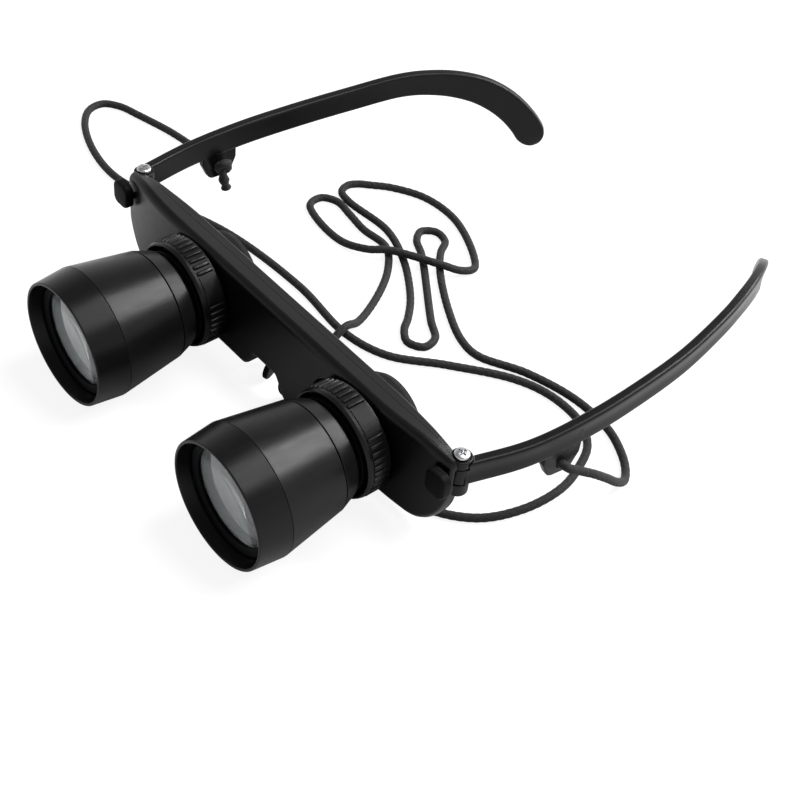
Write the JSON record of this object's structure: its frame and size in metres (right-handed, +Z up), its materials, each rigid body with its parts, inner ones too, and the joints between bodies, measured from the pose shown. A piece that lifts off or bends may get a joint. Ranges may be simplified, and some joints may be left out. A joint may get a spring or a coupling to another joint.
{
  "type": "binocular glasses",
  "caption": "Spectacle-frame binoculars: focusing telescopes that slide for eye distance in a hollow frame, with folding temples, nose pads and a neck cord.",
  "frame": {"origin": "middle of the glasses' footprint without the cord, on the surface that they stand on", "axes": "+X along the frame to the wearer's left, +Y back along the temples, +Z up; the objectives face -Y"},
  "size_m": [0.2316, 0.1892, 0.0382],
  "materials": {
    "satin_plastic": "satin black moulded plastic",
    "matt_plastic": "matt black moulded plastic",
    "rubber": "soft black rubber",
    "steel": "plain steel screws and clips",
    "lens_glass": "clear coated lens",
    "cord": "round braided black cord"
  },
  "bodies": {
    "frame": {"front_shell": "satin_plastic", "rear_cover": "satin_plastic", "cover_screw_1": "steel", "cover_screw_2": "steel", "cover_screw_3": "steel", "cover_screw_4": "steel", "nose_bridge": "matt_plastic", "nose_screw": "steel", "left_nose_pad": "rubber", "right_nose_pad": "rubber", "left_hinge_screw": "steel", "right_hinge_screw": "steel", "left_end_button": "matt_plastic", "right_end_button": "matt_plastic", "cord_left_end": "cord", "cord_middle": "cord", "cord_right_end": "cord"},
    "left_carriage": {"left_carriage": "matt_plastic", "left_ring_clip": "steel", "left_eyepiece_cell": "matt_plastic", "left_eyepiece_lens": "lens_glass", "left_eyecup": "rubber"},
    "left_focus_ring": {"left_focus_ring": "satin_plastic", "left_focus_nut": "matt_plastic"},
    "left_barrel": {"left_rear_collar": "satin_plastic", "left_barrel_body": "satin_plastic", "left_hood": "satin_plastic", "left_lens_ring": "matt_plastic", "left_objective_lens": "lens_glass"},
    "right_carriage": {"right_carriage": "matt_plastic", "right_ring_clip": "steel", "right_eyepiece_cell": "matt_plastic", "right_eyepiece_lens": "lens_glass", "right_eyecup": "rubber"},
    "right_focus_ring": {"right_focus_ring": "satin_plastic", "right_focus_nut": "matt_plastic"},
    "right_barrel": {"right_rear_collar": "satin_plastic", "right_barrel_body": "satin_plastic", "right_hood": "satin_plastic", "right_lens_ring": "matt_plastic", "right_objective_lens": "lens_glass"},
    "left_temple": {"left_temple": "satin_plastic", "left_knot": "cord"},
    "right_temple": {"right_temple": "satin_plastic", "right_knot": "cord"}
  },
  "joints": [
    {"name": "left_eye_distance", "type": "slide", "parent": "frame", "child": "left_carriage", "axis": [1, 0, 0], "range_m": [-0.0097, 0.0008]},
    {"name": "left_focus", "type": "hinge", "parent": "left_carriage", "child": "left_focus_ring", "pos_m": [0.03667, -0.0559, 0.019], "axis": [0, -1, 0], "range_deg": [-90.5, 210.5]},
    {"name": "left_barrel_travel", "type": "slide", "parent": "left_carriage", "child": "left_barrel", "axis": [0, -1, 0], "range_m": [-0.0015, 0.0035]},
    {"name": "right_eye_distance", "type": "slide", "parent": "frame", "child": "right_carriage", "axis": [1, 0, 0], "range_m": [-0.0096, 0.0009]},
    {"name": "right_focus", "type": "hinge", "parent": "right_carriage", "child": "right_focus_ring", "pos_m": [-0.03393, -0.0559, 0.019], "axis": [0, -1, 0], "range_deg": [-90.5, 210.5]},
    {"name": "right_barrel_travel", "type": "slide", "parent": "right_carriage", "child": "right_barrel", "axis": [0, -1, 0], "range_m": [-0.0015, 0.0035]},
    {"name": "left_temple_fold", "type": "hinge", "parent": "frame", "child": "left_temple", "pos_m": [0.06697, -0.04216, 0.026], "axis": [0, 0, 1], "range_deg": [0, 82]},
    {"name": "right_temple_fold", "type": "hinge", "parent": "frame", "child": "right_temple", "pos_m": [-0.07303, -0.04216, 0.026], "axis": [0, 0, 1], "range_deg": [-72, 10]}
  ],
  "couplings": [
    {"joint": "left_focus", "follows": "left_barrel_travel", "rad_per_m": 1047.2},
    {"joint": "right_focus", "follows": "right_barrel_travel", "rad_per_m": 1047.2}
  ]
}
